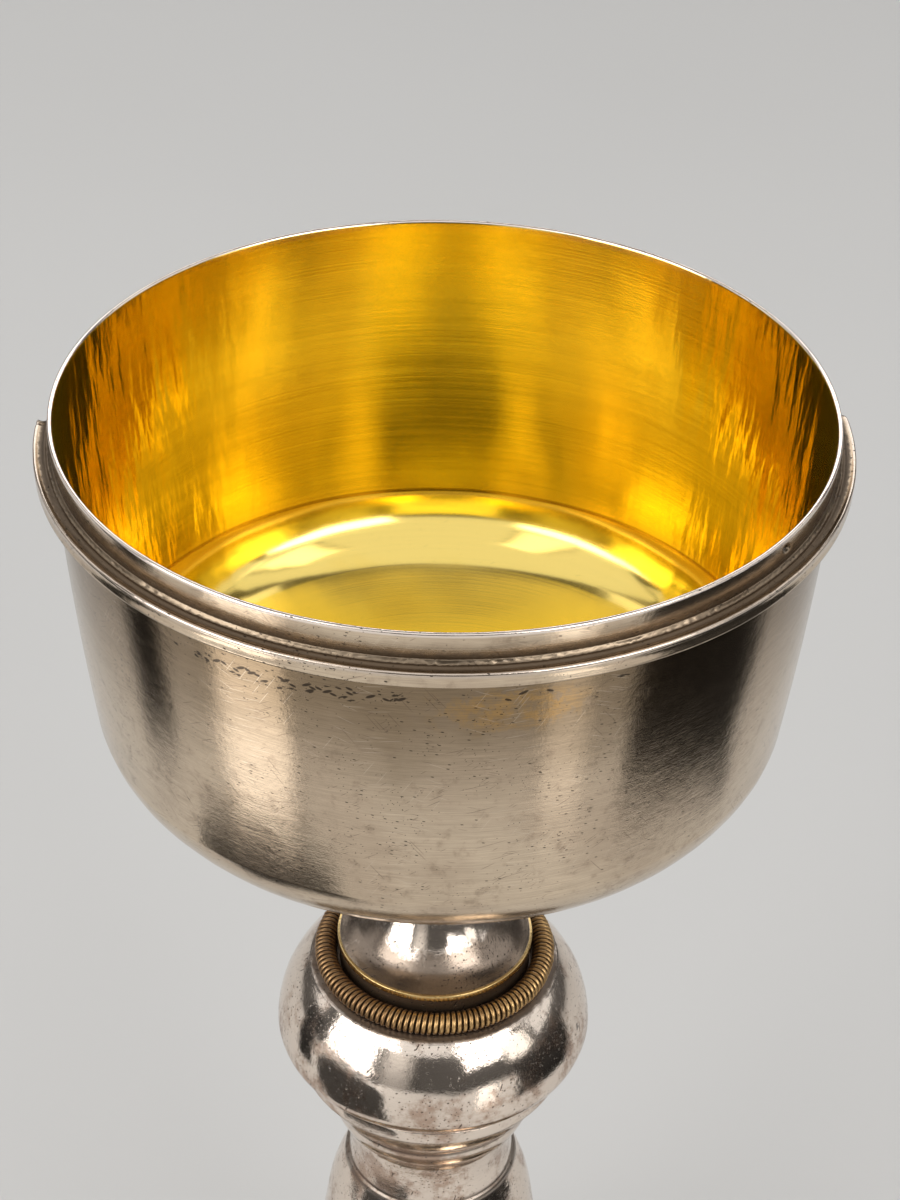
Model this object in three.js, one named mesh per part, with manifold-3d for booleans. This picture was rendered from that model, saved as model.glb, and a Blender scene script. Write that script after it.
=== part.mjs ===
// A ciborium: a stemmed silver cup, gilt inside, on a domed foot.
// Millimetres, +Z up. The origin is the centre of the foot's underside, where it stands on the table.
import * as THREE from 'three';
import * as BufferGeometryUtils from 'three/addons/utils/BufferGeometryUtils.js';
import Module from 'manifold-3d';

// Heights of the joints above the table
const RIM_Z = 265;
const BOWL_BASE_Z = 193;
const KNOP_TOP_Z = 150.5;
const KNOP_BASE_Z = 130.5;
const FOOT_TOP_Z = 44;

// Bowl: a nearly upright wall that draws in a little, a crease, a tight curve and a shallow dish
const RIM_R = 60;
const BOWL_WALL = 0.8;
const WALL_TAPER = 0.039;
const WALL_CURVE = 0.00079;
const WALL_STRETCH = 18;
const CREASE_DEPTH = 51.8;
const TURN_R = 14.6;
const TURN_START_SLOPE = 78;
const DISH_EDGE_SLOPE = 21.8;
const SOLDER_PAD_R = 8.5;

// Seat collar: a square moulding round the bowl, whose lip is missing behind
const LEDGE_DEPTH = 4.75;
const COLLAR_BASE_DEPTH = 7.25;
const LIP_R = 62.5;
const LIP_EDGE = 0.35;
const STRIP_TOP_DEPTH = 5.75;
const STRIP_R = 60.9;
const SOLDER_GAP = 0.05;
const LIP_END_LEFT = 5.3;
const LIP_END_RIGHT = 7;

// Neck: a trumpet with a thin disc edge, on a narrower spigot
const NECK_TOP_R = 8;
const NECK_WAIST_R = 6.6;
const NECK_WAIST_Z = 184;
const DISC_R = 17.2;
const DISC_TOP_Z = 156.75;
const DISC_EDGE = 1.25;
const DISC_BEVEL = 0.4;
const SPIGOT_R = 16.8;

// Coil ring: close turns of fine wire round a ring
const COIL_R = 19.45;
const COIL_TUBE_R = 2.25;
const COIL_TURNS = 126;
const COIL_GROOVE = 0.3;
const COIL_SIDES = 5;

// Knop: a ball flattened below, cut flat above and below
const KNOP_R = 28;
const KNOP_UPPER_HALF = 22.3;
const KNOP_LOWER_HALF = 10.7;
const KNOP_MID_Z = 136.5;

// Baluster: a calyx of a bead and two rolls, a drum, a stepped shoulder, a bulb and a plain lower end
const BEAD_R = 24.2;
const BEAD_BASE_Z = 127;
const FIRST_ROLL_BASE_R = 18.8;
const FIRST_ROLL_BASE_Z = 119;
const SECOND_ROLL_BASE_R = 15.7;
const SECOND_ROLL_BASE_Z = 112;
const ROLL_BULGE = 0.7;
const DRUM_R = 15;
const DRUM_MID_Z = 107;
const STEP_R = 15.4;
const STEP_Z = 101.5;
const STEP_RISE = 0.6;
const BULB_R = 21;
const BULB_Z = 76;
const ANKLE_R = 9.5;
const ANKLE_Z = 51;

// Foot: a hollow dome with an upright edge
const FOOT_R = 65;
const FOOT_WALL = 1;
const FOOT_EDGE_Z = 3.5;
const FOOT_RIM_WIDTH = 3.5;
const FOOT_STEP_R = 58.5;
const FOOT_STEP_Z = 8.5;
const FOOT_COLLAR_R = 14;

// Mouldings' edges: how far their corners are drawn in
const ANKLE_RING_EASE = 1.5;
const BEAD_EASE = 0.5;

// Facets round each turned piece
const BOWL_SIDES = 44;
const STEM_SIDES = 32;
const NECK_SIDES = 24;
const FOOT_SIDES = 36;

const silver = { color: 0xcfc4b4, roughness: 0.34, metalness: 1 };
const polishedSilver = { color: 0xd8cec2, roughness: 0.16, metalness: 1 };
const giltWire = { color: 0xa98548, roughness: 0.4, metalness: 1 };

const wasm = await Module();
wasm.setup();

const group = new THREE.Group();

function radians(degrees) {
  return THREE.MathUtils.degToRad(degrees);
}

// A profile is a list of [radius, height] pairs, from the axis below, up the outside and back inside.
function turned(profile, sides) {
  const points = profile.map(([radius, height]) => new THREE.Vector2(radius, height));
  return new THREE.LatheGeometry(points, sides).rotateX(Math.PI / 2);
}

function addPiece(name, geometry, finish) {
  const mesh = new THREE.Mesh(geometry, new THREE.MeshStandardMaterial(finish));
  mesh.name = name;
  group.add(mesh);
}

// Points of a smooth curve through a few [radius, height] pairs, without its first point
function smooth(pairs, steps) {
  const curve = new THREE.SplineCurve(pairs.map(([radius, height]) => new THREE.Vector2(radius, height)));
  return curve.getPoints(steps).slice(1).map((point) => [point.x, point.y]);
}

// Points of a convex roll between two [radius, height] pairs, without its ends
function roll([startR, startZ], [endR, endZ], bulge) {
  const length = Math.hypot(endR - startR, endZ - startZ);
  const outR = (endZ - startZ) / length;
  const outZ = (startR - endR) / length;
  return [0.25, 0.5, 0.75].map((share) => {
    const out = bulge * Math.sin(Math.PI * share);
    return [startR + (endR - startR) * share + outR * out, startZ + (endZ - startZ) * share + outZ * out];
  });
}

// A closed mesh as a solid that can be cut and joined
function toSolid(geometry) {
  const bare = geometry.clone();
  bare.deleteAttribute('normal');
  bare.deleteAttribute('uv');
  const merged = BufferGeometryUtils.mergeVertices(bare, 1e-4);
  const index = Array.from(merged.index.array);
  const kept = [];
  for (let i = 0; i < index.length; i += 3) {
    const [a, b, c] = index.slice(i, i + 3);
    if (a !== b && b !== c && c !== a) {
      kept.push(a, b, c);
    }
  }
  return new wasm.Manifold(new wasm.Mesh({
    numProp: 3,
    vertProperties: new Float32Array(merged.attributes.position.array),
    triVerts: new Uint32Array(kept),
  }));
}

function toGeometry(solid) {
  const mesh = solid.getMesh();
  const geometry = new THREE.BufferGeometry();
  geometry.setAttribute('position', new THREE.BufferAttribute(mesh.vertProperties, 3));
  geometry.setIndex(new THREE.BufferAttribute(mesh.triVerts, 1));
  geometry.computeVertexNormals();
  return geometry;
}

// Outer radius of the bowl's wall at a depth below the rim
function wallRadius(depth) {
  return RIM_R - WALL_TAPER * depth - WALL_CURVE * depth ** 2;
}

// The bowl's inside from the crease to the middle of the dish: [radius, height, slope in radians]
function bowlFloor() {
  const turnSteps = 4;
  const dishSteps = 3;
  const start = radians(TURN_START_SLOPE);
  const end = radians(DISH_EDGE_SLOPE);
  const creaseR = wallRadius(CREASE_DEPTH) - BOWL_WALL;
  const creaseZ = RIM_Z - CREASE_DEPTH;
  const floor = [];
  for (let i = 0; i <= turnSteps; i += 1) {
    const slope = start + ((end - start) * i) / turnSteps;
    const radius = creaseR - TURN_R * (Math.sin(start) - Math.sin(slope));
    const height = creaseZ - TURN_R * (Math.cos(slope) - Math.cos(start));
    floor.push([radius, height, slope]);
  }
  const [edgeR, edgeZ] = floor[turnSteps];
  const dishR = edgeR / Math.sin(end);
  for (let i = 1; i <= dishSteps; i += 1) {
    const slope = end * (1 - i / dishSteps);
    floor.push([dishR * Math.sin(slope), edgeZ - dishR * (Math.cos(slope) - Math.cos(end)), slope]);
  }
  return floor;
}

function makeBowl() {
  const wallDepths = [0, WALL_STRETCH, 2 * WALL_STRETCH];
  const floor = bowlFloor();
  const under = floor
    .map(([radius, height, slope]) => [
      radius + BOWL_WALL * Math.sin(slope),
      height - BOWL_WALL * Math.cos(slope),
    ])
    .filter(([radius]) => radius > SOLDER_PAD_R);
  const profile = [[0, BOWL_BASE_Z], [SOLDER_PAD_R, BOWL_BASE_Z]];
  profile.push(...under.reverse());
  profile.push(...wallDepths.map((depth) => [wallRadius(depth), RIM_Z - depth]).reverse());
  profile.push(...wallDepths.map((depth) => [wallRadius(depth) - BOWL_WALL, RIM_Z - depth]));
  profile.push(...floor.map(([radius, height]) => [radius, height]));
  addPiece('bowl', turned(profile, BOWL_SIDES), silver);
}

// The bowl's wall is straight between its rings, and the collar lies along the first stretch.
function collarBore(depth) {
  return RIM_R - ((RIM_R - wallRadius(WALL_STRETCH)) * depth) / WALL_STRETCH + SOLDER_GAP;
}

// A ring of rectangular section that lies against the bowl, with its outer top edge eased
function collarRing(topDepth, outerR, edge) {
  return turned([
    [collarBore(COLLAR_BASE_DEPTH), RIM_Z - COLLAR_BASE_DEPTH],
    [outerR, RIM_Z - COLLAR_BASE_DEPTH],
    [outerR, RIM_Z - topDepth - edge],
    [outerR - edge, RIM_Z - topDepth],
    [collarBore(topDepth), RIM_Z - topDepth],
    [collarBore(COLLAR_BASE_DEPTH), RIM_Z - COLLAR_BASE_DEPTH],
  ], BOWL_SIDES);
}

// The wedge behind the bowl where the lip is missing
function missingLip() {
  const reach = 2 * LIP_R;
  const left = radians(180 - LIP_END_LEFT);
  const right = radians(LIP_END_RIGHT);
  const outline = new THREE.Shape([
    new THREE.Vector2(0, 0),
    new THREE.Vector2(reach * Math.cos(right), reach * Math.sin(right)),
    new THREE.Vector2(reach, reach),
    new THREE.Vector2(-reach, reach),
    new THREE.Vector2(reach * Math.cos(left), reach * Math.sin(left)),
  ]);
  const height = 4 * COLLAR_BASE_DEPTH;
  const wedge = new THREE.ExtrudeGeometry(outline, { depth: height, bevelEnabled: false });
  return wedge.translate(0, 0, RIM_Z - height / 2 - COLLAR_BASE_DEPTH);
}

function makeSeatCollar() {
  const lip = toSolid(collarRing(LEDGE_DEPTH, LIP_R, LIP_EDGE)).subtract(toSolid(missingLip()));
  const strip = toSolid(collarRing(STRIP_TOP_DEPTH, STRIP_R, LIP_EDGE));
  addPiece('seat_collar', toGeometry(lip.add(strip)), silver);
}

function makeNeckFlare() {
  const discBaseZ = DISC_TOP_Z - DISC_EDGE;
  const trumpet = smooth([
    [DISC_R - DISC_BEVEL, DISC_TOP_Z],
    [13.2, DISC_TOP_Z + 2.2],
    [8.8, DISC_TOP_Z + 8.5],
    [7, DISC_TOP_Z + 17],
    [NECK_WAIST_R, NECK_WAIST_Z],
    [NECK_TOP_R, BOWL_BASE_Z],
  ], 9);
  addPiece('neck_flare', turned([
    [0, KNOP_TOP_Z],
    [SPIGOT_R, KNOP_TOP_Z],
    [SPIGOT_R, discBaseZ],
    [DISC_R, discBaseZ],
    [DISC_R, DISC_TOP_Z - DISC_BEVEL],
    [DISC_R - DISC_BEVEL, DISC_TOP_Z],
    ...trumpet,
    [0, BOWL_BASE_Z],
  ], NECK_SIDES), polishedSilver);
}

// Each turn of the wire is one crest and one groove of the ring's tube.
function makeCoilRing() {
  const rings = 2 * COIL_TURNS;
  const flatAngle = Math.PI / COIL_SIDES;
  const middleZ = KNOP_TOP_Z + COIL_TUBE_R * Math.cos(flatAngle);
  const positions = [];
  const index = [];
  for (let i = 0; i < rings; i += 1) {
    const around = (2 * Math.PI * i) / rings;
    const tube = i % 2 === 0 ? COIL_TUBE_R : COIL_TUBE_R - COIL_GROOVE;
    for (let j = 0; j < COIL_SIDES; j += 1) {
      const across = (2 * Math.PI * (j + 0.5)) / COIL_SIDES - Math.PI / 2;
      const radius = COIL_R + tube * Math.cos(across);
      positions.push(radius * Math.cos(around), radius * Math.sin(around), middleZ + tube * Math.sin(across));
      const nextRing = ((i + 1) % rings) * COIL_SIDES;
      const nextSide = (j + 1) % COIL_SIDES;
      const here = i * COIL_SIDES;
      index.push(here + j, nextRing + j, here + nextSide);
      index.push(nextRing + j, nextRing + nextSide, here + nextSide);
    }
  }
  const geometry = new THREE.BufferGeometry();
  geometry.setAttribute('position', new THREE.Float32BufferAttribute(positions, 3));
  geometry.setIndex(index);
  geometry.computeVertexNormals();
  addPiece('coil_ring', geometry, giltWire);
}

// The knop's radius at a height: the upper part is half of a taller ellipse than the lower part.
function knopRadius(height) {
  const rise = height - KNOP_MID_Z;
  const half = rise > 0 ? KNOP_UPPER_HALF : KNOP_LOWER_HALF;
  return KNOP_R * Math.sqrt(1 - (rise / half) ** 2);
}

function makeKnop() {
  const lowerHeights = [0, 1.2, 2.8, 4.4].map((rise) => KNOP_BASE_Z + rise);
  const upperSteps = 7;
  const heights = [...lowerHeights];
  for (let i = 0; i <= upperSteps; i += 1) {
    heights.push(KNOP_MID_Z + ((KNOP_TOP_Z - KNOP_MID_Z) * i) / upperSteps);
  }
  addPiece('knop', turned([
    [0, KNOP_BASE_Z],
    ...heights.map((height) => [knopRadius(height), height]),
    [0, KNOP_TOP_Z],
  ], STEM_SIDES), polishedSilver);
}

function makeBaluster() {
  const firstRollTop = [BEAD_R - 2, BEAD_BASE_Z];
  const firstRollBase = [FIRST_ROLL_BASE_R, FIRST_ROLL_BASE_Z];
  const secondRollBase = [SECOND_ROLL_BASE_R, SECOND_ROLL_BASE_Z];
  const shoulder = [STEP_R + STEP_RISE, STEP_Z];
  const bulb = smooth([
    shoulder,
    [18.7, STEP_Z - 8],
    [20.1, STEP_Z - 17],
    [BULB_R, BULB_Z],
    [19.6, 68],
    [14.5, 59],
    [ANKLE_R, ANKLE_Z],
  ], 9).reverse();
  addPiece('baluster', turned([
    [0, FOOT_TOP_Z],
    [FOOT_COLLAR_R - ANKLE_RING_EASE, FOOT_TOP_Z],
    [FOOT_COLLAR_R - 0.6, FOOT_TOP_Z + 1.6],
    [FOOT_COLLAR_R - ANKLE_RING_EASE, FOOT_TOP_Z + 3.2],
    [ANKLE_R + 0.6, FOOT_TOP_Z + 4.2],
    ...bulb,
    shoulder,
    [STEP_R, STEP_Z + 0.4],
    [DRUM_R, DRUM_MID_Z],
    secondRollBase,
    ...roll(secondRollBase, firstRollBase, ROLL_BULGE),
    firstRollBase,
    ...roll(firstRollBase, firstRollTop, ROLL_BULGE),
    firstRollTop,
    [BEAD_R - BEAD_EASE, BEAD_BASE_Z + BEAD_EASE],
    [BEAD_R, BEAD_BASE_Z + 1.7],
    [BEAD_R - BEAD_EASE, KNOP_BASE_Z - BEAD_EASE],
    [knopRadius(KNOP_BASE_Z), KNOP_BASE_Z],
    [0, KNOP_BASE_Z],
  ], STEM_SIDES), polishedSilver);
}

function makeFoot() {
  const dome = smooth([
    [FOOT_STEP_R, FOOT_STEP_Z],
    [51, 15.5],
    [38, 23],
    [25, 29],
    [17, 36],
    [FOOT_COLLAR_R, FOOT_TOP_Z],
  ], 8);
  const outside = [
    [FOOT_R, 0],
    [FOOT_R, FOOT_EDGE_Z],
    [FOOT_R - 1.5, FOOT_EDGE_Z + 1],
    [FOOT_STEP_R + 1.2, FOOT_EDGE_Z + 1.6],
    [FOOT_STEP_R, FOOT_STEP_Z],
    ...dome,
  ];
  // The inside follows the outside one wall's thickness in.
  const inside = [];
  for (let i = 3; i < outside.length - 1; i += 1) {
    const [beforeR, beforeZ] = outside[i - 1];
    const [afterR, afterZ] = outside[i + 1];
    const length = Math.hypot(afterR - beforeR, afterZ - beforeZ);
    const [radius, height] = outside[i];
    inside.push([
      radius - (FOOT_WALL * (afterZ - beforeZ)) / length,
      height + (FOOT_WALL * (afterR - beforeR)) / length,
    ]);
  }
  const innerR = FOOT_R - FOOT_RIM_WIDTH;
  addPiece('foot', turned([
    [innerR, 0],
    ...outside,
    [0, FOOT_TOP_Z],
    [0, FOOT_TOP_Z - FOOT_WALL],
    [FOOT_COLLAR_R - ANKLE_RING_EASE, FOOT_TOP_Z - FOOT_WALL],
    ...inside.reverse(),
    [innerR, 0],
  ], FOOT_SIDES), silver);
}

makeBowl();
makeSeatCollar();
makeNeckFlare();
makeCoilRing();
makeKnop();
makeBaluster();
makeFoot();

export default group;
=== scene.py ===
# %% [markdown]
# # A silver ciborium, gilt inside
#
# The cup stands on the table at z = 0 and its axis is the Z axis. Nearly everything on it was raised or
# turned, so most pieces are made here from a profile that is carried once round the axis. The CAD model
# has the same pieces with a few flat facets each. This script gives each of them its fine form, its
# relief and its finish, and keeps inside the CAD model's box.

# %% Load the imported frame
import math

import bmesh
import bpy
import numpy as np
from mathutils import Matrix, Vector


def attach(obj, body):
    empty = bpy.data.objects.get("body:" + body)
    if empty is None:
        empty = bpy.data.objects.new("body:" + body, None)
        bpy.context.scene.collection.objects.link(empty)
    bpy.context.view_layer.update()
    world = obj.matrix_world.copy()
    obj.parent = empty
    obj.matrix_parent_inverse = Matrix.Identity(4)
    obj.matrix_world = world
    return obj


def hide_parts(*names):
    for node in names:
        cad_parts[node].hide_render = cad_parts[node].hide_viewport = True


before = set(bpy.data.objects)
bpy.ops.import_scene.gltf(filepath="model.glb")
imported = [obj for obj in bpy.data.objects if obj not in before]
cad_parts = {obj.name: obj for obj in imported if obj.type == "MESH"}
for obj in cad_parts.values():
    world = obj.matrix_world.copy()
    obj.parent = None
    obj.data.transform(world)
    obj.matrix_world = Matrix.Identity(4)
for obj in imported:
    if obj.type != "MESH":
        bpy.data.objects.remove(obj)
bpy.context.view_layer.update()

# %% [markdown]
# ## The camera
#
# The camera comes first, because every surface is judged through it. It looks down into the cup from
# above the front, leans a little to one side, and cuts the cup off below the knop. The lens length
# belongs to a 36 mm sensor whose long side is the picture's height.

# %% Camera
MM = 0.001
RIM_Z = 265


def placed(name, data):
    """A new object in the scene."""
    made = bpy.data.objects.new(name, data)
    bpy.context.scene.collection.objects.link(made)
    return made


camera_data = bpy.data.cameras.new("camera")
camera = placed("camera", camera_data)
camera_place = Vector((0.00133, -0.33091, 0.46405))
camera_target = Vector((0.00133, 0, 0.22787))
camera_lean = math.radians(1.308)
camera_look = camera_target - camera_place
looking = camera_look.to_track_quat("-Z", "Y").to_matrix().to_4x4()
camera.matrix_world = Matrix.Translation(camera_place) @ looking @ Matrix.Rotation(camera_lean, 4, "Z")
camera_data.sensor_width = 36
camera_data.lens = 76.14
camera_data.clip_start = 0.01
camera_data.clip_end = 50
bpy.context.scene.camera = camera
print("camera looks down", round(math.degrees(math.atan2(-camera_look.z, camera_look.y)), 1), "degrees")

# %% [markdown]
# ## Profiles and skins
#
# A turned piece is a line of (radius, height) pairs: it starts on the axis below, goes up the outside and
# comes back inside, so that the faces point outwards. `corners` softens the corners of a drawn profile
# with small arcs, because a real edge is never quite sharp and it is the small arc that catches the light.
# `curve` draws a smooth line through a few pairs. `skin` carries the rows round the axis, and also takes a
# different radius and height for each angle, which makes dents, worn places and a lip that ends.
# The UV map holds millimetres in thousands: round the piece in u, and along the profile in v.

# %% Helpers for profiles
def curve(pairs, steps):
    """Points of a smooth curve through (radius, height) pairs, without its first point."""
    points = np.array(pairs, float)
    padded = np.vstack([points[:1], points, points[-1:]])
    made = []
    for k in range(1, steps + 1):
        place = k / steps * (len(points) - 1)
        i = min(int(place), len(points) - 2)
        t = place - i
        a, b, c, d = padded[i:i + 4]
        bend = (2 * a - 5 * b + 4 * c - d) * t ** 2 + (3 * b - a - 3 * c + d) * t ** 3
        made.append(tuple(0.5 * (2 * b + (c - a) * t + bend)))
    return made


def corners(pairs, ease=0.2, arc=4):
    """Rounds the corners of a line of pairs. A pair may hold its own ease as a third number."""
    rounded = [tuple(pairs[0][:2])]
    for before, here, after in zip(pairs, pairs[1:], pairs[2:]):
        size = here[2] if len(here) > 2 else ease
        p, q, r = (np.array(x[:2], float) for x in (before, here, after))
        to_p, to_r = (p - q) / np.linalg.norm(p - q), (r - q) / np.linalg.norm(r - q)
        size = min(size, 0.45 * np.linalg.norm(p - q), 0.45 * np.linalg.norm(r - q))
        if size <= 0 or np.dot(to_p, to_r) < -0.985:
            rounded.append(tuple(q))
            continue
        start, end = q + to_p * size, q + to_r * size
        for t in np.linspace(0, 1, arc + 1):
            rounded.append(tuple((1 - t) ** 2 * start + 2 * t * (1 - t) * q + t ** 2 * end))
    rounded.append(tuple(pairs[-1][:2]))
    return rounded


def fine(pairs, step):
    """Adds points to a profile so that no stretch is longer than the step."""
    made = [pairs[0]]
    for (r0, z0), (r1, z1) in zip(pairs, pairs[1:]):
        parts = max(1, math.ceil(math.hypot(r1 - r0, z1 - z0) / step))
        made += [(r0 + (r1 - r0) * k / parts, z0 + (z1 - z0) * k / parts) for k in range(1, parts + 1)]
    return made


def around(sides):
    """Even angles once round the axis."""
    return np.linspace(0, 2 * math.pi, sides, endpoint=False)


# %% Helpers for skins
def skin(name, radius, height, turn, loop=False):
    """A closed mesh from rows of radii and heights in millimetres: a row for each point of the profile."""
    rows, columns = radius.shape
    places = np.stack([radius * np.cos(turn), radius * np.sin(turn), height], -1) * MM
    index = np.arange(rows * columns).reshape(rows, columns)
    if loop:
        index = np.vstack([index, index[:1]])
    beside = np.roll(index, -1, axis=1)
    quads = np.stack([index[:-1], beside[:-1], beside[1:], index[1:]], -1).reshape(-1, 4)
    mesh = bpy.data.meshes.new(name)
    mesh.from_pydata(places.reshape(-1, 3).tolist(), [], quads.tolist())

    stretch = np.hypot(np.diff(radius, axis=0), np.diff(height, axis=0)).mean(1)
    along = np.concatenate([[0], np.cumsum(stretch)])
    if loop:
        along = np.append(along, along[-1] + np.hypot(radius[0] - radius[-1], height[0] - height[-1]).mean())
    edge = np.append(turn, 2 * math.pi + turn[0]) * radius.max()
    u = np.stack([edge[:-1], edge[1:], edge[1:], edge[:-1]], -1)
    v = np.stack([along[:-1], along[:-1], along[1:], along[1:]], -1)
    uv = np.empty((len(v), columns, 4, 2))
    uv[..., 0] = u[None]
    uv[..., 1] = v[:, None]
    mesh.uv_layers.new(name="UVMap").data.foreach_set("uv", (uv * MM).ravel())

    shell = bmesh.new()
    shell.from_mesh(mesh)
    bmesh.ops.remove_doubles(shell, verts=shell.verts, dist=1e-8)
    bmesh.ops.dissolve_degenerate(shell, edges=shell.edges, dist=1e-9)
    shell.to_mesh(mesh)
    shell.free()
    mesh.shade_smooth()
    piece = placed(name, mesh)
    print(name, len(mesh.polygons), "faces, height", round(height.min(), 2), "to", round(height.max(), 2), "mm")
    return piece


def turned(name, profile, sides, relief=None):
    """A turned piece. The relief gives how far a place stands out of the profile, in millimetres."""
    r, z = np.array(profile, float).T
    turn = around(sides) if isinstance(sides, int) else sides
    radius, height = np.tile(r[:, None], len(turn)), np.tile(z[:, None], len(turn))
    if relief is not None:
        dr, dz = np.gradient(r), np.gradient(z)
        length = np.hypot(dr, dz)
        out = relief(radius, height, turn[None]) * (r > 0)[:, None]
        radius = np.maximum(radius + out * (dz / length)[:, None], 0)
        height = height - out * (dr / length)[:, None]
    return skin(name, radius, height, turn)


def ripples(seed, waves, rounds, rises):
    """A smooth unevenness that closes round the piece. Its size is about 1, and it is the same on every run."""
    rng = np.random.default_rng(seed)
    counts = rng.integers(rounds[0], rounds[1] + 1, waves)
    climbs = rng.uniform(rises[0], rises[1], waves) * rng.choice([-1, 1], waves)
    starts = rng.uniform(0, 2 * math.pi, waves)

    def at(place, turn):
        total = 0
        for count, climb, start in zip(counts, climbs, starts):
            total = total + np.sin(count * turn + climb * place + start)
        return total / math.sqrt(waves / 2)
    return at


def finished(piece, slot, *nodes):
    """Puts a piece on the cup's body in place of its CAD solid."""
    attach(piece, "root")
    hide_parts(*nodes)


# %% [markdown]
# ## Sums on sockets
#
# Finishes are worked out with Python sums. `Link` stands for a socket of a node tree: an operator on it adds
# the Math node that does the sum, or a Vector Math node where a vector takes part. `Maker` adds any other
# node, for materials and Geometry Nodes alike.

# %% Sums with operators
class Link:
    """A socket's value that Python sums can use."""

    def __init__(self, socket):
        self.socket = socket

    def sum(self, operation, *terms):
        tree = self.socket.id_data
        links = [x for x in terms if isinstance(x, Link)]
        vector = any(x.socket.type not in ("VALUE", "INT", "BOOLEAN") for x in links)
        node = tree.nodes.new("ShaderNodeVectorMath" if vector else "ShaderNodeMath")
        node.operation = operation
        for place, term in enumerate(terms):
            if isinstance(term, Link):
                tree.links.new(term.socket, node.inputs[place])
            elif vector:
                node.inputs[place].default_value = (term,) * 3 if isinstance(term, (int, float)) else term
            else:
                node.inputs[place].default_value = term
        return Link(node.outputs[0])

    def clipped(self):
        """The value, held between 0 and 1."""
        made = self + 0
        made.socket.node.use_clamp = True
        return made

    def apart(self, place=0.0):
        """How far the value lies from a place, to either side."""
        gap = self - place
        return gap.sum("ABSOLUTE", gap)


for sign, operation in (
        ("add", "ADD"), ("sub", "SUBTRACT"), ("mul", "MULTIPLY"), ("truediv", "DIVIDE"), ("pow", "POWER")):
    setattr(Link, f"__{sign}__", lambda self, other, operation=operation: self.sum(operation, self, other))
    setattr(Link, f"__r{sign}__", lambda self, other, operation=operation: self.sum(operation, other, self))


# %% Any other node
class Maker:
    """Adds nodes to one tree."""

    def __init__(self, tree):
        self.tree = tree

    def node(self, kind, settings=None, out=0, **sockets):
        """A node's output. A socket is named in full, or by its number after an underscore."""
        made = self.tree.nodes.new(kind)
        for name, value in (settings or {}).items():
            setattr(made, name, value)
        for name, value in sockets.items():
            socket = made.inputs[int(name[1:])] if name[0] == "_" else made.inputs[name.replace("_", " ")]
            if isinstance(value, Link):
                self.tree.links.new(value.socket, socket)
            else:
                socket.default_value = value
        return Link(made.outputs[out])


# %% A metal finish and its patterns
class Finish(Maker):
    """A metal finish: a material with one Principled shader, and the patterns that feed it."""

    def __init__(self, name):
        self.material = bpy.data.materials.new(name)
        self.material.use_nodes = True
        super().__init__(self.material.node_tree)
        self.shader = self.tree.nodes["Principled BSDF"]
        self.shader.inputs["Metallic"].default_value = 1
        self.place = self.node("ShaderNodeTexCoord", out="Object") * 1000
        self.skin = self.node("ShaderNodeUVMap", {"uv_map": "UVMap"}) * 1000
        parts = self.node("ShaderNodeSeparateXYZ", Vector=self.place).socket.node
        self.x, self.y, self.z = (Link(output) for output in parts.outputs)
        self.axis = (self.x * self.x + self.y * self.y) ** 0.5
        self.turn = self.y.sum("ARCTAN2", self.y, self.x)

    def noise(self, place, scale, detail=2.0, roughness=0.5):
        """Smooth noise from 0 to 1. The scale is in waves for each millimetre: one number, or one for each way of
        the skin."""
        flat = isinstance(scale, tuple)
        if flat:
            place, scale = place * (*scale, 1), 1
        return self.node(
            "ShaderNodeTexNoise", {"noise_dimensions": "2D" if flat else "3D"},
            Vector=place, Scale=scale, Detail=detail, Roughness=roughness)

    def marks(self, share, length, width, lean=0.0, spread=5.0):
        """Short straight marks on the skin: 1 in the middle of a mark, 0 beside it. The share is how many of the
        cells hold a mark, and a cell is as many times longer and wider than its mark as the spread."""
        laid = self.node(
            "ShaderNodeMapping", {"vector_type": "TEXTURE"}, Vector=self.skin,
            Rotation=(0, 0, math.radians(lean)), Scale=(length * spread, width * spread, 1))
        cell = self.node("ShaderNodeTexVoronoi", {"voronoi_dimensions": "2D"}, "Distance", Vector=laid, Scale=1.0)
        chance = self.node("ShaderNodeSeparateColor", Color=Link(cell.socket.node.outputs["Color"]))
        return self.fade(cell, 0.5 / spread, 0.32 / spread) * chance.sum("LESS_THAN", chance, share)

    def patch(self, side, depth, wide, tall, edge, slant=0.0):
        """A ragged spot: 1 inside, 0 outside. Its middle is an angle in degrees and a depth under the rim. The
        edge is noise that moves its outline."""
        across = (self.turn - math.radians(side)) * (RIM_R / wide)
        along = (RIM_Z - self.z - depth) / tall - across * slant
        return self.fade((across * across + along * along) ** 0.5 + edge, 1.0, 0.6)

    def deepest(self, *heights):
        """The largest of several values."""
        most = heights[0]
        for height in heights[1:]:
            most = most.sum("MAXIMUM", most, height)
        return most

    def fade(self, value, low, high, start=0.0, end=1.0):
        """A value from low to high, carried smoothly over to start and end, and clipped."""
        return self.node(
            "ShaderNodeMapRange", {"interpolation_type": "SMOOTHSTEP"},
            Value=value, _1=low, _2=high, _3=start, _4=end)

    def painted(self, colour, *layers):
        """Colours laid over one another: each layer is a share and a colour."""
        for share, layer in layers:
            colour, layer = (x if isinstance(x, Link) else (*x, 1) for x in (colour, layer))
            colour = self.node("ShaderNodeMix", {"data_type": "RGBA"}, 2, _0=share, _6=colour, _7=layer)
        return colour

    def feed(self, **sockets):
        """Sets the shader's own sockets, or links them."""
        for name, value in sockets.items():
            socket = self.shader.inputs[name.replace("_", " ")]
            if isinstance(value, Link):
                self.tree.links.new(value.socket, socket)
            else:
                socket.default_value = value

    def bump(self, height):
        """Fine relief too small for the mesh, from a height in millimetres."""
        self.feed(Normal=self.node("ShaderNodeBump", Strength=1.0, Distance=MM, Height=height))


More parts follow.
